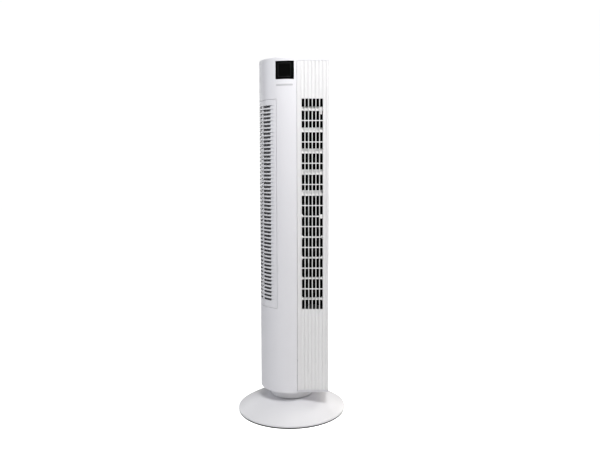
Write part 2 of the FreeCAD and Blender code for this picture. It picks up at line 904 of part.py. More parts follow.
# ---------------------------------------------------------------- air path

def decks():
    ceiling = size("fan_ceiling")
    plate = feature(inner_slab(ceiling, ceiling + size("deck_plate")), "UpperPlate")
    seat_low = "fan_ceiling - bearing_seat_drop"
    seat_high = "fan_ceiling + deck_plate"
    seat = cylinder("bearing_rubber + bearing_seat_wall", seat_low, "fan_ceiling + past")
    bore = cylinder("bearing_rubber", f"{seat_low} - past", f"{seat_high} + past")
    node("upper_deck", cut(fuse(plate, seat), bore))
    node("bearing_rubber", ring("RubberRing", "bearing_rubber", "bearing_radius", seat_low,
                                seat_high))
    node("upper_bearing", ring("BearingBush", "bearing_radius", "shaft_radius + running_gap",
                               f"{seat_low} - bearing_proud", f"{seat_high} + bearing_proud"))
    floor = size("fan_floor")
    bracket = feature(inner_slab(floor - size("deck_plate"), floor), "BracketPlate")
    tools = [cylinder("bracket_bore", "motor_high - past", "fan_floor + past")]
    tools += holes(around(4, "motor_screw_circle", 45), "screw_clear", "motor_high - past",
                   "fan_floor + past")
    node("motor_bracket", cut(bracket, *tools))


def volute_duct():
    """Spiral wall that gathers the air behind the impeller and leads it to the outlet."""
    centre_x = "duct_right - duct_radius"
    curve = cylinder("duct_radius + duct_wall", "fan_floor", "fan_ceiling", centre_x, "-volute_shift")
    bind(curve, Angle="duct_sweep")
    curve = cut(curve, cylinder("duct_radius", "fan_floor - past", "fan_ceiling + past", centre_x,
                                "-volute_shift"))
    straight = box("duct_right", "duct_right + duct_wall", "-rail_front", "-volute_shift",
                   "fan_floor", "fan_ceiling")
    node("volute_duct", fuse(curve, straight))
    middle = "(tongue_left + tongue_right) / 2"
    plate = box("tongue_left", "tongue_right", "-(panel_front - panel_thick - tongue_gap)", "-tongue_back",
                "fan_floor", "fan_ceiling")
    nose = cylinder("(tongue_right - tongue_left) / 2", "fan_floor", "fan_ceiling", middle,
                    "-tongue_back")
    node("tongue", fuse(plate, nose))


def vane_level(group, index):
    """Height of the pivot of one vane; index 0 is the lowest of its group."""
    return f"{group}_vane_first + {index} * row_pitch"


def vane_frame():
    low = "fan_floor"
    high = "fan_ceiling"
    rails = [box(left, right, "-rail_front", "-rail_back", foot, head)
             for left, right, foot, head in (
                 ("rail_left", "rail_left + rail_wide", low, high),
                 ("rail_right - rail_right_wide", "rail_right", low, high),
                 ("rail_left", "rail_right", low, f"{low} + rail_wide"),
                 ("rail_left", "rail_right", f"{high} - rail_wide", high))]
    bores = [along_x("vane_pin_clear", "rail_left - past", "rail_right + past", "-vane_axis",
                     vane_level(group, k))
             for group in ("lower", "upper") for k in range(int(size("vane_group")))]
    node("vane_frame", cut(fuse(*rails), *bores))


def vane(label, group, index, with_tab):
    """One vane, drawn level about its pivot and then tilted, front edge down for a positive tilt.

    A round stop stands on each end of its front edge.
    """
    half = "vane_thick / 2"
    front = f"-(vane_half - {half})"
    back = f"vane_half - {half}"
    parts = [
        box("vane_left", "vane_right", front, back, f"-{half}", half),
        along_x(half, "vane_left", "vane_right", front, "0"),
        along_x(half, "vane_left", "vane_right", back, "0"),
        along_x("lug_radius", "vane_left", "vane_left + lug_thick", "0", "0"),
        along_x("lug_radius", "vane_right - lug_thick", "vane_right", "0", "0"),
        along_x("vane_pin", "rail_left + pin_inset", "rail_right - pin_inset", "0", "0"),
        along_x("link_pin", "vane_right - past", "link_right + link_pin_proud", "link_arm", "0"),
        along_x("stop_radius", "stop_left", "stop_left + stop_width", "-stop_front", "stop_rise"),
        along_x("stop_radius", "stop_right", "stop_right + stop_width", "-stop_front", "stop_rise"),
    ]
    if with_tab:
        parts.append(box("tab_left", "tab_right", f"-{group}_tab_reach", "-vane_half + past",
                         f"-{group}_tab_half", f"{group}_tab_half"))
    item = node(label, fuse(*parts))
    item.Placement.Rotation = Rotation(Vector(1, 0, 0), size(group + "_tilt"))
    put(item, "0", "-vane_axis", vane_level(group, index))


def link_rod(label, group):
    """Upright rod on the rear pins of one group of vanes; its holes are long across the rod."""
    pins = [f"{vane_level(group, k)} + link_arm * sin({group}_tilt)"
            for k in range(int(size("vane_group")))]
    middle = "-vane_axis + link_arm * cos(link_lean)"
    rod = box("link_left", "link_right", f"{middle} - link_half", f"{middle} + link_half",
              f"{pins[0]} - link_end", f"{pins[-1]} + link_end")
    slots = [box("link_left - past", "link_right + past", f"{middle} - link_slot_half",
                 f"{middle} + link_slot_half", f"{pin} - link_pin - link_slot_gap",
                 f"{pin} + link_pin + link_slot_gap") for pin in pins]
    node(label, cut(rod, *slots))


def vanes():
    count = int(size("vane_group"))
    for group in ("lower", "upper"):
        for k in range(count):
            vane(f"{group}_vane_{k + 1}", group, count - 1 - k, k == 0)
        link_rod(f"{group}_link_rod", group)


def impeller():
    """Cross-flow wheel: curved blades between end discs, with stiffening rings."""
    radius = size("impeller_radius")
    low = size("impeller_low")
    high = size("impeller_high")
    disc = size("impeller_disc")
    curve = size("blade_curve")
    thick = size("blade_thick")
    middle = (radius + size("blade_root")) / 2
    centre = Vector(middle, -curve, low)
    sweep = size("blade_sweep")
    outer = Part.makeCylinder(curve + thick / 2, high - low, centre, UP, sweep)
    blade = outer.cut(Part.makeCylinder(curve - thick / 2, high - low, centre))
    blade.rotate(centre, UP, 90 - sweep / 2)
    blade.rotate(Vector(middle, 0, 0), UP, size("blade_lean"))
    blade = blade.common(Part.makeCylinder(radius, high - low, Vector(0, 0, low)))
    blades = []
    for k in range(int(size("blade_count"))):
        one = blade.copy()
        one.rotate(Vector(0, 0, 0), UP, k * 360 / size("blade_count"))
        blades.append(one)
    discs = [Part.makeCylinder(radius, disc, Vector(0, 0, z)) for z in (low, high - disc)]
    count = int(size("impeller_rings"))
    thin = size("impeller_ring")
    hole = size("blade_root") - size("past")
    for k in range(1, count + 1):
        foot = Vector(0, 0, low + k * (high - low) / (count + 1))
        discs.append(Part.makeCylinder(radius, thin, foot).cut(Part.makeCylinder(hole, thin, foot)))
    hub = Part.makeCylinder(size("hub_radius"), size("hub_height"), Vector(0, 0, low))
    top_height = size("top_hub_height")
    top_hub = Part.makeCylinder(size("hub_radius"), top_height, Vector(0, 0, high - top_height))
    bore = Part.makeCylinder(size("shaft_radius") + size("press_gap"), high, Vector(0, 0, 0))
    wheel = discs[0].fuse(discs[1:] + blades + [hub, top_hub]).cut(bore)
    node("impeller", feature(wheel, "Impeller"))
    node("upper_axle", ring("Axle", "shaft_radius", "0", "impeller_high - top_hub_height",
                            "fan_ceiling + deck_plate + axle_proud"))


def motor():
    """Shaded motor in a round can under the bracket, with its rotor, shaft and capacitor."""
    inner = "motor_radius - motor_wall"
    can = revolved("MotorTurned", [
        ("shaft_radius + running_gap", "motor_low"),
        ("motor_radius", "motor_low"),
        ("motor_radius", "motor_high"),
        ("shaft_radius + running_gap", "motor_high"),
        ("shaft_radius + running_gap", "motor_high - motor_plate"),
        (inner, "motor_high - motor_plate"),
        (inner, "motor_low + motor_plate"),
        ("shaft_radius + running_gap", "motor_low + motor_plate"),
    ])
    places = around(4, "motor_screw_circle", 45)
    node("motor_can", cut(can, *holes(places, "screw_radius", "motor_high - motor_hole",
                                      "motor_high + past")))
    node("motor_screws", screws(places, "fan_floor", "motor_high - motor_tip", "motor_head"))
    node("stator", ring("StatorRing", inner, "stator_inner", "stator_low", "stator_high"))
    node("rotor", ring("RotorRing", "rotor_radius", "shaft_radius + press_gap", "stator_low",
                       "stator_high"))
    node("motor_shaft", ring("Shaft", "shaft_radius", "0", "motor_low - shaft_proud",
                             "impeller_low + hub_height"))
    node("capacitor", box("-capacitor_left", "-capacitor_right", "-capacitor_half",
                          "capacitor_half", "motor_high - capacitor_height", "motor_high"))


def swing_drive():
    """Slow motor with a crank; the crank pin works over the slotted arm of the retaining plate."""
    high = "swing_motor_low + swing_motor_height"
    can = cylinder("swing_motor_radius", "swing_motor_low", high, y="crank_offset")
    ears = box("-(post_reach + post_radius)", "post_reach + post_radius", "post_back - post_radius",
               "post_back + post_radius", "swing_motor_low", "swing_motor_low + ear_thick")
    places = swing_motor_places()
    low = "swing_motor_low - past"
    tools = holes(places, "screw_clear", low, "swing_motor_low + ear_thick + past")
    tools.append(cylinder("crank_shaft + running_gap", low, "swing_motor_low + crank_bore_depth",
                          y="crank_offset"))
    node("swing_motor", cut(fuse(can, ears), *tools))
    node("swing_motor_screws", screws(places, "swing_motor_low + ear_thick",
                                      "swing_motor_low - post_tip", "high_head"))
    disc = cylinder("crank_radius", "crank_level", "crank_level + crank_thick", y="crank_offset")
    shaft = cylinder("crank_shaft", "crank_level + past", "swing_motor_low + crank_shaft_depth",
                     y="crank_offset")
    pin = cylinder("crank_pin", "crank_pin_low", "crank_level + past",
                   y="crank_offset + crank_throw")
    node("crank", fuse(disc, shaft, pin))


def cord_gland():
    """Grommet that the mains cord would leave through, with a collar outside the rear shell."""
    place = ("gland_reach", "gland_level")
    stem = along_y("gland_radius", "shell_radius - gland_inside", "shell_radius + gland_outside",
                   *place)
    collar_from = "shell_radius + collar_gap"
    collar = along_y("gland_radius + collar_wide", collar_from, f"{collar_from} + collar_thick",
                     *place)
    node("cord_gland", fuse(stem, collar))


# ---------------------------------------------------------------- build, check and write

def build():
    base_disc()
    base_bottom_cover()
    node("base_ballast", ring("Ballast", "ballast_outer", "ballast_inner", "cover_high",
                              "cover_high + ballast_height"))
    pivot_hub()
    node("slide_ring", ring("SlideRing", "ring_outer", "ring_inner", "deck_level",
                            "deck_level + ring_thick"))
    retaining_plate()
    turntable()
    bottom_cap()
    left_shell()
    rear_shell()
    intake_grille()
    intake_filter()
    outlet_grille()
    top_cap()
    buttons()
    control_board()
    display()
    decks()
    volute_duct()
    vane_frame()
    vanes()
    impeller()
    motor()
    swing_drive()
    cord_gland()


def check():
    for item in DOC.Objects:
        if "Invalid" in item.State or "Error" in item.State:
            raise RuntimeError(f"{item.Label} did not compute: {item.State}")
    for item in NODES:
        if item.Shape.isNull() or not item.Shape.isValid():
            raise RuntimeError(f"{item.Label} has no valid shape")


build()
DOC.recompute()
check()
os.makedirs("parts", exist_ok=True)
for item in NODES:
    item.Shape.exportStep(f"parts/{item.Label}.step")
    print(item.Label, len(item.Shape.Solids), round(item.Shape.Volume), item.Shape.BoundBox)
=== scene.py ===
"""Tower fan: materials, small details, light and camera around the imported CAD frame."""
import json
import math

import bmesh
import bpy
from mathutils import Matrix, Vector


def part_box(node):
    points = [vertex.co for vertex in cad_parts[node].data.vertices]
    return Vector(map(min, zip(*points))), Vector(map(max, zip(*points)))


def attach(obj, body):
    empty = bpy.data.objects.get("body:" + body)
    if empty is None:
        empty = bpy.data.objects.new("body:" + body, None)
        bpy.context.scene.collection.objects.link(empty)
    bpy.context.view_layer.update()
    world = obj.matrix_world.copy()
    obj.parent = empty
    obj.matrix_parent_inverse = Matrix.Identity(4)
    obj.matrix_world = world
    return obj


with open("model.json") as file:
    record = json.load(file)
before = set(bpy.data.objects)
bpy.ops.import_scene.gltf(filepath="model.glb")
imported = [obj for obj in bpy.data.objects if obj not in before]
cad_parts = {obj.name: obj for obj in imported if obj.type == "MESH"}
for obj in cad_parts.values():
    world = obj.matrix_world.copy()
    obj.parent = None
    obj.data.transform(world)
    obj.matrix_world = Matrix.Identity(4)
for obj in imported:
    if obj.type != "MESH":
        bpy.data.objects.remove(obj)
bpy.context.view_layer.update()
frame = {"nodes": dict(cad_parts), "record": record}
NODES = frame["nodes"]
MM = 0.001


# ---------------------------------------------------------------- camera

# Metres, degrees below level, millimetres, and shares of the picture's width.
CAMERA_PLACE = (0.0539, -1.3599, 0.5568)
CAMERA_DIP = 4.296
CAMERA_LENS = 36.16
CAMERA_SENSOR = 36.0
CAMERA_SHIFT = (-0.02505, -0.0230)
CAMERA_REACH = 50.0


def make_camera():
    """Above the middle of the fan and a little to its right, looking slightly down."""
    data = bpy.data.cameras.new("camera")
    data.lens = CAMERA_LENS
    data.sensor_width = CAMERA_SENSOR
    data.shift_x, data.shift_y = CAMERA_SHIFT
    data.clip_end = CAMERA_REACH
    camera = bpy.data.objects.new("camera", data)
    camera.location = CAMERA_PLACE
    camera.rotation_euler = (math.radians(90.0 - CAMERA_DIP), 0.0, 0.0)
    bpy.context.scene.collection.objects.link(camera)
    bpy.context.scene.camera = camera


# ---------------------------------------------------------------- shader nodes

# Nearly all values of a noise lie between these two.
NOISE_SPAN = (0.3, 0.7)


def new_material(name):
    material = bpy.data.materials.new(name)
    material.use_nodes = True
    tree = material.node_tree
    return material, tree, tree.nodes["Principled BSDF"]


def noise(tree, scale, detail=2.0, roughness=0.5, stretch=None):
    """Noise with so many cells to the metre; stretch scales the axes apart, as in drawn metal."""
    source = tree.nodes.new("ShaderNodeTexCoord").outputs["Object"]
    if stretch:
        mapping = tree.nodes.new("ShaderNodeMapping")
        mapping.inputs["Scale"].default_value = stretch
        tree.links.new(source, mapping.inputs["Vector"])
        source = mapping.outputs["Vector"]
    node = tree.nodes.new("ShaderNodeTexNoise")
    node.inputs["Scale"].default_value = scale
    node.inputs["Detail"].default_value = detail
    node.inputs["Roughness"].default_value = roughness
    tree.links.new(source, node.inputs["Vector"])
    return node.outputs["Fac"]


def two_tone(tree, source, dark, light, span=NOISE_SPAN):
    """Noise turned into a colour between dark and light."""
    node = tree.nodes.new("ShaderNodeValToRGB")
    for element, position, colour in zip(node.color_ramp.elements, span, (dark, light)):
        element.position = position
        element.color = (*colour, 1.0)
    tree.links.new(source, node.inputs["Fac"])
    return node.outputs["Color"]


def spread(tree, source, low, high):
    """Noise brought between two plain numbers."""
    node = tree.nodes.new("ShaderNodeMapRange")
    node.inputs["From Min"].default_value = NOISE_SPAN[0]
    node.inputs["From Max"].default_value = NOISE_SPAN[1]
    node.inputs["To Min"].default_value = low
    node.inputs["To Max"].default_value = high
    tree.links.new(source, node.inputs["Value"])
    return node.outputs["Result"]


def bump(tree, shader, source, height):
    node = tree.nodes.new("ShaderNodeBump")
    node.inputs["Strength"].default_value = 1.0
    node.inputs["Distance"].default_value = height
    tree.links.new(source, node.inputs["Height"])
    tree.links.new(node.outputs["Normal"], shader.inputs["Normal"])


def darker(colour, share):
    return tuple(channel * (1.0 - share) for channel in colour)


# ---------------------------------------------------------------- materials

def moulded(name, colour, roughness, tint=0.03, grain=1400.0, depth=0.02 * MM, specular=0.5):
    """Moulded plastic: a faint cloudy tone, uneven gloss and a fine spark-eroded grain."""
    material, tree, shader = new_material(name)
    tone = two_tone(tree, noise(tree, 9.0, 3.0), darker(colour, tint), colour)
    tree.links.new(tone, shader.inputs["Base Color"])
    gloss = spread(tree, noise(tree, 60.0, 3.0), roughness - 0.03, roughness + 0.04)
    tree.links.new(gloss, shader.inputs["Roughness"])
    shader.inputs["Specular IOR Level"].default_value = specular
    bump(tree, shader, noise(tree, grain, 2.0, 0.6), depth)
    return material


def metal(name, colour, roughness):
    """Bare metal with fine drawn lines."""
    material, tree, shader = new_material(name)
    lines = noise(tree, 220.0, 4.0, 0.6, stretch=(1.0, 1.0, 30.0))
    tone = two_tone(tree, lines, darker(colour, 0.2), colour, span=(0.35, 0.65))
    tree.links.new(tone, shader.inputs["Base Color"])
    gloss = spread(tree, lines, roughness - 0.06, roughness + 0.08)
    tree.links.new(gloss, shader.inputs["Roughness"])
    shader.inputs["Metallic"].default_value = 1.0
    bump(tree, shader, lines, 0.01 * MM)
    return material


def cast_iron(name, colour):
    """Rough cast metal, half covered by its own dull skin."""
    material, tree, shader = new_material(name)
    skin = noise(tree, 420.0, 6.0, 0.7)
    tone = two_tone(tree, skin, darker(colour, 0.4), colour)
    tree.links.new(tone, shader.inputs["Base Color"])
    shader.inputs["Metallic"].default_value = 0.7
    shader.inputs["Roughness"].default_value = 0.65
    bump(tree, shader, skin, 0.2 * MM)
    return material


def gloss_black(name):
    """Smoked acrylic: nearly black, polished, with the faintest waviness in the gloss."""
    material, tree, shader = new_material(name)
    tone = two_tone(tree, noise(tree, 30.0, 2.0), (0.0012, 0.0012, 0.0014), (0.002, 0.002, 0.0023))
    tree.links.new(tone, shader.inputs["Base Color"])
    gloss = spread(tree, noise(tree, 90.0, 2.0), 0.05, 0.09)
    tree.links.new(gloss, shader.inputs["Roughness"])
    shader.inputs["Specular IOR Level"].default_value = 0.3
    bump(tree, shader, noise(tree, 40.0, 1.0), 0.002 * MM)
    return material


# Each moulded look: its colour, its roughness and what differs from the usual plastic.
PLASTICS = {
    "shell_white": dict(colour=(0.80, 0.795, 0.818), roughness=0.42, tint=0.015),
    # The next two are copies of the shell white whose tints are painted light colour: bluish for the
    # shells in the cool light from the left, warmer for the outlet grille in the warm light from the
    # right.
    "cool_light_tint_white": dict(colour=(0.797, 0.792, 0.829), roughness=0.42, tint=0.015),
    "warm_light_tint_white": dict(colour=(0.802, 0.796, 0.808), roughness=0.42, tint=0.015),
    # The vanes' white is brighter than the shell white: painted light that makes up for the shade the
    # grille bars cast on the vanes.
    "vane_white": dict(colour=(0.96, 0.955, 0.955), roughness=0.4, tint=0.01),
    "button_grey": dict(colour=(0.42, 0.42, 0.435), roughness=0.38),
    "dark_plastic": dict(colour=(0.012, 0.012, 0.013), roughness=0.6, tint=0.2, specular=0.2),
    "grey_plastic": dict(colour=(0.10, 0.10, 0.105), roughness=0.5, tint=0.1),
    # Dark plastic of the base's bottom cover, made darker still as a painted contact shadow under the
    # base's rim.
    "cover_and_shadow_grey": dict(colour=(0.03, 0.03, 0.031), roughness=0.55, tint=0.1, specular=0.3),
    "led_module": dict(colour=(0.02, 0.02, 0.022), roughness=0.5, tint=0.2),
    "circuit_board": dict(colour=(0.02, 0.13, 0.05), roughness=0.35, tint=0.25, grain=500.0),
    "rubber": dict(colour=(0.018, 0.018, 0.018), roughness=0.75, tint=0.3, grain=900.0,
                   depth=0.06 * MM),
    # Near-black, darker than the dark plastic: painted shade for the parts deep inside the fan's openings.
    "inner_shade_black": dict(colour=(0.0035, 0.0035, 0.0038), roughness=0.7, tint=0.2, specular=0.08),
    "print_dark": dict(colour=(0.022, 0.022, 0.024), roughness=0.4, tint=0.1, depth=0.005 * MM),
    "print_grey": dict(colour=(0.56, 0.56, 0.585), roughness=0.5, tint=0.02, depth=0.005 * MM),
    # Black for painted shade: the screw heads' cross recesses.
    "recess_shade_black": dict(colour=(0.01, 0.01, 0.01), roughness=0.6, tint=0.2, specular=0.2),
}
MATERIALS = {name: moulded(name, **look) for name, look in PLASTICS.items()}
MATERIALS["screen_black"] = gloss_black("screen_black")
MATERIALS["ballast_iron"] = cast_iron("ballast_iron", (0.12, 0.12, 0.125))
MATERIALS["steel"] = metal("steel", (0.60, 0.60, 0.61), 0.3)
MATERIALS["bronze"] = metal("bronze", (0.62, 0.42, 0.2), 0.35)

# Nodes that look a little different from the rest of their material slot.
NODE_LOOK = {
    # The bottom cover's dark edge under the rim is partly its own dark plastic and partly painted contact
    # shadow.
    "base_bottom_cover": "cover_and_shadow_grey",
    # The outlet grille and the shells wear the warm and cool copies of the shell white, whose tints are
    # painted light colour.
    "outlet_grille": "warm_light_tint_white",
    **dict.fromkeys(("left_shell", "rear_shell", "intake_grille", "top_cap", "bottom_cap"), "cool_light_tint_white"),
    # The parts deep inside the openings are near-black as painted shade.
    **dict.fromkeys(("vane_frame", "volute_duct", "tongue", "impeller"), "inner_shade_black"),
}


# ---------------------------------------------------------------- CAD nodes

PART_BEVEL = 0.35 * MM
SHELL_BEVEL = 0.2 * MM
# The outer mouldings, whose edges are softened by the full width even where a short edge meets them.
OPEN_BEVEL = {"left_shell", "rear_shell", "intake_grille", "bottom_cap", "display_window"}
# The outlet grille keeps its own facets: long narrow ribs and flutes shade evenly only when flat.
FACETED = {"outlet_grille"}


def soften(node, width, clamp=True):
    """Merge the flat facets, round every sharp edge a little and shade by face area."""
    weld = node.modifiers.new("weld", "WELD")
    weld.merge_threshold = 0.002 * MM
    flat = node.modifiers.new("flat", "DECIMATE")
    flat.decimate_type = "DISSOLVE"
    flat.angle_limit = math.radians(0.5)
    bevel = node.modifiers.new("bevel", "BEVEL")
    bevel.width = width
    bevel.segments = 2
    bevel.limit_method = "ANGLE"
    bevel.angle_limit = math.radians(40.0)
    bevel.use_clamp_overlap = clamp
    normals = node.modifiers.new("normals", "WEIGHTED_NORMAL")
    normals.weight = 80


def set_smooth(mesh, smooth):
    mesh.polygons.foreach_set("use_smooth", [smooth] * len(mesh.polygons))


def dress_nodes():
    """Every CAD node gets its material; all but the outlet grille also get softened edges and smooth
    shading.
    """
    for part in frame["record"]["subparts"]:
        name = part["node"]
        node = NODES[name]
        node.data.materials.clear()
        node.data.materials.append(MATERIALS[NODE_LOOK.get(name, part["material_slot"])])
        for polygon in node.data.polygons:
            polygon.material_index = 0
        set_smooth(node.data, name not in FACETED)
        if name in OPEN_BEVEL:
            soften(node, SHELL_BEVEL, clamp=False)
        elif name not in FACETED:
            soften(node, PART_BEVEL)


# ---------------------------------------------------------------- tools for the added pieces

# How far a raised mark reaches into the surface that it stands on.
SUNK = 0.1 * MM


def finish_piece(bm, name, body, material, smooth=True):
    """Close a bmesh into an object that rides on a body and wears a material."""
    bmesh.ops.remove_doubles(bm, verts=bm.verts, dist=0.001 * MM)
    bmesh.ops.recalc_face_normals(bm, faces=bm.faces)
    mesh = bpy.data.meshes.new(name)
    bm.to_mesh(mesh)
    bm.free()
    set_smooth(mesh, smooth)
    mesh.materials.append(MATERIALS[material])
    piece = bpy.data.objects.new(name, mesh)
    bpy.context.scene.collection.objects.link(piece)
    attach(piece, body)


def bridge(bm, low, high):
    """Faces between two closed rows that have the same number of points."""
    for k in range(len(low)):
        n = (k + 1) % len(low)
        bm.faces.new((low[k], low[n], high[n], high[k]))


def rounded_loop(half_wide, half_high, radius, side_steps=10, corner_steps=4):
    """Points of a rounded rectangle, the same number whatever its size."""
    arcs = []
    for k, (sx, sz) in enumerate(((1, 1), (-1, 1), (-1, -1), (1, -1))):
        cx = sx * (half_wide - radius)
        cz = sz * (half_high - radius)
        turns = [math.radians(90.0 * (k + step / corner_steps)) for step in range(corner_steps + 1)]
        arcs.append([(cx + radius * math.cos(turn), cz + radius * math.sin(turn)) for turn in turns])
    points = []
    for k, arc in enumerate(arcs):
        (x0, z0), (x1, z1) = arc[-1], arcs[(k + 1) % 4][0]
        points += arc
        points += [(x0 + (x1 - x0) * j / side_steps, z0 + (z1 - z0) * j / side_steps)
                   for j in range(1, side_steps)]
    return points


def wrapped(loops, radius, azimuth, level, ring=False):
    """Loops of points, each at its own height, bent round the upright axis; a ring joins last to first."""
    bm = bmesh.new()
    rows = []
    for points, height in loops:
        row = []
        for across, up in points:
            angle = math.radians(azimuth) + across / radius
            reach = radius + height
            row.append(bm.verts.new((-reach * math.sin(angle), -reach * math.cos(angle), level + up)))
        rows.append(row)
    for low, high in zip(rows, rows[1:]):
        bridge(bm, low, high)
    if ring:
        bridge(bm, rows[-1], rows[0])
    return bm


def lathe(bm, profile, centre, steps, start=0.0, sweep=360.0):
    """Turn a closed profile of (radius, height) about an upright axis, all or part of the way round."""
    full = sweep >= 360.0
    rows = []
    for step in range(steps if full else steps + 1):
        angle = math.radians(start + sweep * step / steps)
        rows.append([bm.verts.new((centre[0] + r * math.cos(angle), centre[1] + r * math.sin(angle),
                                   centre[2] + z)) for r, z in profile])
    for low, high in zip(rows, rows[1:]):
        bridge(bm, low, high)
    if full:
        bridge(bm, rows[-1], rows[0])
    else:
        bm.faces.new(list(reversed(rows[0])))
        bm.faces.new(rows[-1])


def bar(bm, centre, length, width, height, turn=0.0, sunk=SUNK):
    """A raised bar with a chamfered top, lying at an angle."""
    c = math.cos(math.radians(turn))
    s = math.sin(math.radians(turn))
    rings = []
    for chamfer, z in ((0.0, -sunk), (0.0, height * 0.6), (width * 0.25, height)):
        ring = []
        for sx, sy in ((-1, -1), (1, -1), (1, 1), (-1, 1)):
            x = sx * (length / 2 - chamfer)
            y = sy * (width / 2 - chamfer)
            ring.append(bm.verts.new((centre[0] + x * c - y * s, centre[1] + x * s + y * c,
                                      centre[2] + z)))
        rings.append(ring)
    for low, high in zip(rings, rings[1:]):
        bridge(bm, low, high)
    bm.faces.new(list(reversed(rings[0])))
    bm.faces.new(rings[-1])


# ---------------------------------------------------------------- display

SQUARE_HALF = 14.2 * MM
SQUARE_LINE = 0.5 * MM
SQUARE_PROUD = 0.03 * MM
SQUARE_LIFT = 0.3 * MM
SQUARE_CORNER = 1.2 * MM
SQUARE_CORNER_INSIDE = 0.8 * MM
WINDOW_PROUD = 0.2 * MM
DASH_HALF_WIDE = 18.4 * MM
DASH_HALF_HIGH = 1.9 * MM
DASH_PROUD = 0.12 * MM
DASH_SHOULDER = 0.05 * MM
DASH_CHAMFER = 0.3 * MM
DASH_SUNK = 0.3 * MM
DASH_DROP = 12.0 * MM
DASH_AZIMUTH = 9.3


def make_display_details():
    """A thin printed square on the display window and a plain dash under it."""
    low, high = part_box("display_window")
    face = -low.y
    azimuth = math.degrees((math.asin(low.x / low.y) + math.asin(high.x / low.y)) / 2)
    inside = SQUARE_HALF - SQUARE_LINE
    outer = rounded_loop(SQUARE_HALF, SQUARE_HALF, SQUARE_CORNER)
    inner = rounded_loop(inside, inside, SQUARE_CORNER_INSIDE)
    square = wrapped([(outer, -SUNK), (outer, SQUARE_PROUD), (inner, SQUARE_PROUD), (inner, -SUNK)],
                     face, azimuth, (low.z + high.z) / 2 + SQUARE_LIFT, ring=True)
    finish_piece(square, "display_square", "tower", "print_dark")

    core = rounded_loop(DASH_HALF_WIDE - DASH_HALF_HIGH, 0.0, 0.0)
    edge = rounded_loop(DASH_HALF_WIDE, DASH_HALF_HIGH, DASH_HALF_HIGH)
    crest_high = DASH_HALF_HIGH - DASH_CHAMFER
    crest = rounded_loop(DASH_HALF_WIDE - DASH_CHAMFER, crest_high, crest_high)
    dash = wrapped([(core, -DASH_SUNK), (edge, -DASH_SUNK), (edge, DASH_SHOULDER), (crest, DASH_PROUD),
                    (core, DASH_PROUD)], face - WINDOW_PROUD, DASH_AZIMUTH, low.z - DASH_DROP)
    finish_piece(dash, "front_dash", "tower", "print_grey")


# ---------------------------------------------------------------- button marks

MARK_RISE = 0.25 * MM
RING_HALF = 0.3 * MM


def beside(centre, across, back):
    return (centre[0] + across, centre[1] + back, centre[2])


def thin_ring(bm, centre, radius, start=0.0, sweep=360.0):
    lathe(bm, [(radius - RING_HALF, -SUNK), (radius + RING_HALF, -SUNK),
               (radius + RING_HALF, MARK_RISE * 0.6), (radius + RING_HALF * 0.5, MARK_RISE),
               (radius - RING_HALF * 0.5, MARK_RISE), (radius - RING_HALF, MARK_RISE * 0.6)],
          centre, 40, start, sweep)


def dot(bm, centre, radius=0.6 * MM):
    middle = 0.01 * MM
    lathe(bm, [(middle, -SUNK), (radius, -SUNK), (radius, MARK_RISE * 0.5),
               (radius * 0.7, MARK_RISE * 0.9), (middle, MARK_RISE)], centre, 20)


def clock_mark(bm, top):
    thin_ring(bm, top, 2.9 * MM)
    bar(bm, beside(top, 0.0, 0.8 * MM), 1.9 * MM, 0.55 * MM, MARK_RISE, 90.0)
    bar(bm, beside(top, 0.65 * MM, 0.0), 1.2 * MM, 0.55 * MM, MARK_RISE)


def dots_mark(bm, top):
    for k in (-1, 0, 1):
        dot(bm, beside(top, k * 2.1 * MM, 0.0))


def power_mark(bm, top):
    thin_ring(bm, top, 2.7 * MM, 125.0, 290.0)
    bar(bm, beside(top, 0.0, 2.3 * MM), 2.6 * MM, 0.6 * MM, MARK_RISE, 90.0)


def rising_bars_mark(bm, top):
    for k, tall in enumerate((2.2 * MM, 3.3 * MM, 4.4 * MM)):
        bar(bm, beside(top, (k - 1) * 1.7 * MM, tall / 2 - 2.2 * MM), tall, 0.8 * MM, MARK_RISE, 90.0)


def swing_mark(bm, top):
    pivot = beside(top, 0.0, -1.4 * MM)
    thin_ring(bm, pivot, 3.0 * MM, 35.0, 110.0)
    dot(bm, pivot, 0.8 * MM)


BUTTON_MARKS = {"timer_button": clock_mark, "mode_button": dots_mark, "power_button": power_mark,
                "speed_button": rising_bars_mark, "swing_button": swing_mark}


def make_button_marks():
    """A raised mark in the middle of each button, which goes down with it."""
    for name, draw in BUTTON_MARKS.items():
        low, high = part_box(name)
        bm = bmesh.new()
        draw(bm, ((low.x + high.x) / 2, (low.y + high.y) / 2, high.z))
        finish_piece(bm, name + "_mark", name, "print_dark", smooth=False)


# ---------------------------------------------------------------- screws

SCREW_BODIES = {"base_screws": "stand", "pivot_screws": "stand", "retaining_screws": "stand",
                "turntable_screws": "tower"}
CROSS_LONG = 3.0 * MM
CROSS_WIDE = 0.7 * MM
CROSS_PROUD = 0.048 * MM
CROSS_SUNK = 0.04 * MM
CROSS_TURN = 20.0


def islands(node):
    """Low and high corners of each separate solid in a node, found by walking its edges."""
    bm = bmesh.new()
    bm.from_mesh(NODES[node].data)
    bmesh.ops.remove_doubles(bm, verts=bm.verts, dist=0.002 * MM)
    left = set(bm.verts)
    boxes = []
    while left:
        stack = [left.pop()]
        found = list(stack)
        while stack:
            for edge in stack.pop().link_edges:
                for vert in edge.verts:
                    if vert in left:
                        left.remove(vert)
                        stack.append(vert)
                        found.append(vert)
        boxes.append((Vector([min(v.co[i] for v in found) for i in range(3)]),
                      Vector([max(v.co[i] for v in found) for i in range(3)])))
    bm.free()
    return sorted(boxes, key=lambda box: tuple(round(value, 5) for value in box[0]))


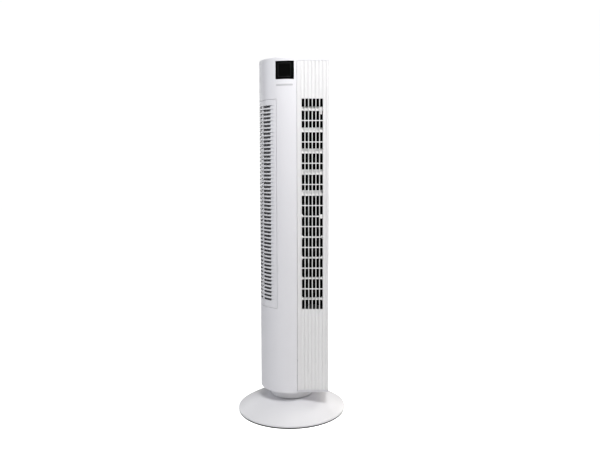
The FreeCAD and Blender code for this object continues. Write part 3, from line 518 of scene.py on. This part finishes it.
def make_screw_crosses():
    """A black cross on the underside of each screw head, painted shade where the cross recess lies, which
    shows from below the fan.
    """
    for node, body in SCREW_BODIES.items():
        bm = bmesh.new()
        for low, high in islands(node):
            head = ((low.x + high.x) / 2, (low.y + high.y) / 2, low.z)
            for turn in (CROSS_TURN, CROSS_TURN + 90.0):
                bar(bm, head, CROSS_LONG, CROSS_WIDE, -CROSS_PROUD, turn, sunk=-CROSS_SUNK)
        finish_piece(bm, node + "_recess_shade", body, "recess_shade_black")


# ---------------------------------------------------------------- stage and light

FLOOR_REACH = 6.0
FLOOR_LIFT = 1.0
FLOOR_TONES = ((0.93, 0.93, 0.93), (0.95, 0.95, 0.95))
BACKDROP = 1.02
AMBIENT = 0.08
AMBIENT_COLOUR = (1.0, 0.98, 0.88)
LIGHT_AIM = (0.0, 0.0, 0.5)
PLAIN = (1.0, 1.0, 1.0)
COOL = (0.86, 0.91, 1.0)
WARM = (1.0, 0.975, 0.93)
# name, place, size, watts, colour
LIGHTS = [
    ("key", (0.25, -1.1, 1.7), 0.4, 18.5, PLAIN),
    ("upper_fill", (0.3, -0.7, 1.35), 0.3, 3.5, PLAIN),
    ("top", (0.0, -0.2, 2.2), 0.8, 1.5, COOL),
    ("left_fill", (-1.8, -0.2, 0.8), 0.8, 5.5, COOL),
    ("left_rim", (-1.2, 1.3, 0.9), 1.0, 6.5, PLAIN),
    ("right_rim", (1.2, 1.3, 0.7), 1.0, 10.5, WARM),
    ("right_top", (1.3, 0.2, 1.7), 0.6, 6.5, WARM),
    ("back", (0.0, 1.8, 1.3), 1.0, 2.0, PLAIN),
    ("right_close", (0.55, 0.06, 1.0), 0.3, 1.0, WARM),
]


def make_stage():
    """A white floor that the camera sees a little brighter than the light on it makes it."""
    reach = FLOOR_REACH
    mesh = bpy.data.meshes.new("floor")
    mesh.from_pydata([(-reach, -reach, 0), (reach, -reach, 0), (reach, reach, 0), (-reach, reach, 0)],
                     [], [(0, 1, 2, 3)])
    floor = bpy.data.objects.new("floor", mesh)
    bpy.context.scene.collection.objects.link(floor)
    material, tree, shader = new_material("floor_white")
    tree.links.new(two_tone(tree, noise(tree, 3.0), *FLOOR_TONES), shader.inputs["Base Color"])
    shader.inputs["Roughness"].default_value = 0.9
    shader.inputs["Emission Color"].default_value = (FLOOR_LIFT, FLOOR_LIFT, FLOOR_LIFT, 1.0)
    seen = tree.nodes.new("ShaderNodeLightPath")
    tree.links.new(seen.outputs["Is Camera Ray"], shader.inputs["Emission Strength"])
    mesh.materials.append(material)


def background(tree, colour, strength):
    node = tree.nodes.new("ShaderNodeBackground")
    node.inputs["Color"].default_value = (*colour, 1.0)
    node.inputs["Strength"].default_value = strength
    return node.outputs["Background"]


def make_world():
    """A white backdrop for the camera and a weak even light for everything else."""
    world = bpy.data.worlds.new("studio")
    bpy.context.scene.world = world
    world.use_nodes = True
    tree = world.node_tree
    tree.nodes.remove(tree.nodes["Background"])
    seen = tree.nodes.new("ShaderNodeLightPath")
    blend = tree.nodes.new("ShaderNodeMixShader")
    tree.links.new(seen.outputs["Is Camera Ray"], blend.inputs["Fac"])
    tree.links.new(background(tree, AMBIENT_COLOUR, AMBIENT), blend.inputs[1])
    tree.links.new(background(tree, PLAIN, BACKDROP), blend.inputs[2])
    tree.links.new(blend.outputs["Shader"], tree.nodes["World Output"].inputs["Surface"])


def make_lights():
    """Soft square lamps, all turned to the middle of the fan."""
    for name, place, size, power, colour in LIGHTS:
        data = bpy.data.lights.new(name, "AREA")
        data.shape = "SQUARE"
        data.size = size
        data.energy = power
        data.color = colour
        light = bpy.data.objects.new(name, data)
        light.location = place
        aim = Vector(LIGHT_AIM) - Vector(place)
        light.rotation_euler = aim.to_track_quat("-Z", "Y").to_euler()
        bpy.context.scene.collection.objects.link(light)


def set_view():
    """Colours as they are, with no film look."""
    view = bpy.context.scene.view_settings
    view.view_transform = "Standard"
    view.look = "None"


make_camera()
dress_nodes()
make_display_details()
make_button_marks()
make_screw_crosses()
make_stage()
make_world()
make_lights()
set_view()
